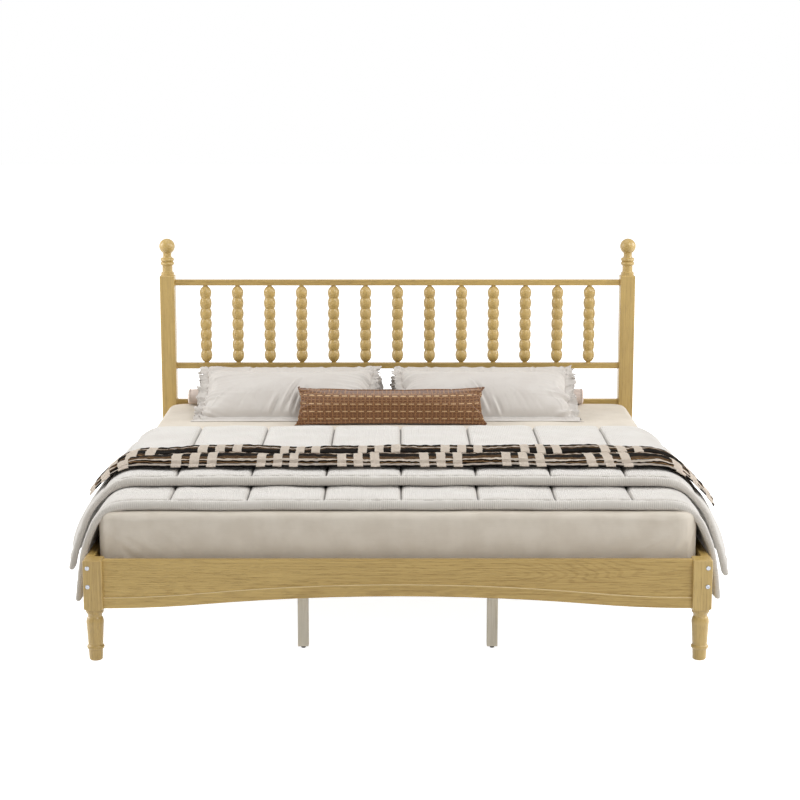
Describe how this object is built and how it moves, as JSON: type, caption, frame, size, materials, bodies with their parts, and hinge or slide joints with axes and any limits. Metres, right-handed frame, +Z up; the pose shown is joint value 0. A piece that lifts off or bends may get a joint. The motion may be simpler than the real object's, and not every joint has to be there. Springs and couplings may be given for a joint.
{
  "type": "platform bed",
  "caption": "Wooden platform bed with a turned spindle headboard, low arched footboard, slatted base with centre legs, and made up with a mattress, sheet, quilted comforter, throw and pillows.",
  "frame": {"origin": "on the floor, in the middle of the footprint", "axes": "+X across the bed, to the right as seen from the foot end; +Y from the foot end to the head end; +Z up from the floor"},
  "size_m": [2.198, 2.1484, 1.17],
  "materials": {
    "frame_wood": "satin lacquer over a golden olive-tan stain, grain showing",
    "support_wood": "plain sanded pale wood",
    "foot_plastic": "moulded black",
    "zinc_steel": "bright zinc plated",
    "mattress_fabric": "knitted cover",
    "sheet_fabric": "grey-beige woven cotton",
    "comforter_fabric": "white quilted cotton with a fine stripe",
    "throw_fabric": "woven plaid in dark brown, tan and cream",
    "pillow_fabric": "light grey-white cotton",
    "lumbar_fabric": "tan-brown cotton with a stitched grid",
    "bolster_fabric": "greyish pink woven cover"
  },
  "bodies": {
    "frame": {"headboard_post_left": "frame_wood", "headboard_post_right": "frame_wood", "finial_left": "frame_wood", "finial_right": "frame_wood", "headboard_top_rail": "frame_wood", "headboard_lower_rail": "frame_wood", "headboard_base_rail": "frame_wood", "head_cross_rail": "frame_wood", "spindle_01": "frame_wood", "spindle_02": "frame_wood", "spindle_03": "frame_wood", "spindle_04": "frame_wood", "spindle_05": "frame_wood", "spindle_06": "frame_wood", "spindle_07": "frame_wood", "spindle_08": "frame_wood", "spindle_09": "frame_wood", "spindle_10": "frame_wood", "spindle_11": "frame_wood", "spindle_12": "frame_wood", "spindle_13": "frame_wood", "front_post_left": "frame_wood", "front_post_right": "frame_wood", "footboard_panel": "frame_wood", "side_rail_left": "frame_wood", "side_rail_right": "frame_wood", "finial_dowels": "frame_wood", "slat_ledge_left": "support_wood", "slat_ledge_right": "support_wood", "center_beam_left": "support_wood", "center_beam_right": "support_wood", "center_leg_foot_left": "support_wood", "center_leg_foot_right": "support_wood", "center_leg_middle_left": "support_wood", "center_leg_middle_right": "support_wood", "center_leg_head_left": "support_wood", "center_leg_head_right": "support_wood", "slats": "support_wood", "corner_bolts": "zinc_steel", "barrel_nuts": "zinc_steel", "beam_hangers": "zinc_steel", "hanger_screws": "zinc_steel", "leg_bolts": "zinc_steel", "slat_screws": "zinc_steel"},
    "leveling_foot_foot_left": {"leveling_foot_foot_left": "foot_plastic"},
    "leveling_foot_foot_right": {"leveling_foot_foot_right": "foot_plastic"},
    "leveling_foot_middle_left": {"leveling_foot_middle_left": "foot_plastic"},
    "leveling_foot_middle_right": {"leveling_foot_middle_right": "foot_plastic"},
    "leveling_foot_head_left": {"leveling_foot_head_left": "foot_plastic"},
    "leveling_foot_head_right": {"leveling_foot_head_right": "foot_plastic"},
    "mattress": {"mattress": "mattress_fabric", "fitted_sheet": "sheet_fabric"},
    "comforter": {"comforter": "comforter_fabric"},
    "throw": {"throw": "throw_fabric"},
    "lumbar_cushion": {"lumbar_cushion": "lumbar_fabric"},
    "front_pillow_left": {"front_pillow_left": "pillow_fabric"},
    "front_pillow_right": {"front_pillow_right": "pillow_fabric"},
    "back_pillow_left": {"back_pillow_left": "pillow_fabric"},
    "back_pillow_right": {"back_pillow_right": "pillow_fabric"},
    "bolster": {"bolster": "bolster_fabric"}
  },
  "joints": [
    {"name": "leveling_screw_foot_left", "type": "slide", "parent": "frame", "child": "leveling_foot_foot_left", "axis": [0, 0, 1], "range_m": [-0.015, 0.003]},
    {"name": "leveling_screw_foot_right", "type": "slide", "parent": "frame", "child": "leveling_foot_foot_right", "axis": [0, 0, 1], "range_m": [-0.015, 0.003]},
    {"name": "leveling_screw_middle_left", "type": "slide", "parent": "frame", "child": "leveling_foot_middle_left", "axis": [0, 0, 1], "range_m": [-0.015, 0.003]},
    {"name": "leveling_screw_middle_right", "type": "slide", "parent": "frame", "child": "leveling_foot_middle_right", "axis": [0, 0, 1], "range_m": [-0.015, 0.003]},
    {"name": "leveling_screw_head_left", "type": "slide", "parent": "frame", "child": "leveling_foot_head_left", "axis": [0, 0, 1], "range_m": [-0.015, 0.003]},
    {"name": "leveling_screw_head_right", "type": "slide", "parent": "frame", "child": "leveling_foot_head_right", "axis": [0, 0, 1], "range_m": [-0.015, 0.003]},
    {"name": "mattress_lift", "type": "slide", "parent": "frame", "child": "mattress", "axis": [0, 0, 1], "range_m": [0, 0.3]},
    {"name": "comforter_lift", "type": "slide", "parent": "mattress", "child": "comforter", "axis": [0, 0, 1], "range_m": [0, 0.3]},
    {"name": "throw_lift", "type": "slide", "parent": "comforter", "child": "throw", "axis": [0, 0, 1], "range_m": [0, 0.25]},
    {"name": "lumbar_cushion_lift", "type": "slide", "parent": "mattress", "child": "lumbar_cushion", "axis": [0, 0, 1], "range_m": [0, 0.25]},
    {"name": "front_pillow_left_slide", "type": "slide", "parent": "mattress", "child": "front_pillow_left", "axis": [-1, 0, 0], "range_m": [0, 0.3]},
    {"name": "front_pillow_right_slide", "type": "slide", "parent": "mattress", "child": "front_pillow_right", "axis": [1, 0, 0], "range_m": [0, 0.3]},
    {"name": "back_pillow_left_slide", "type": "slide", "parent": "mattress", "child": "back_pillow_left", "axis": [-1, 0, 0], "range_m": [0, 0.3]},
    {"name": "back_pillow_right_slide", "type": "slide", "parent": "mattress", "child": "back_pillow_right", "axis": [1, 0, 0], "range_m": [0, 0.3]},
    {"name": "bolster_slide", "type": "slide", "parent": "mattress", "child": "bolster", "axis": [1, 0, 0], "range_m": [-0.075, 0.175]}
  ]
}
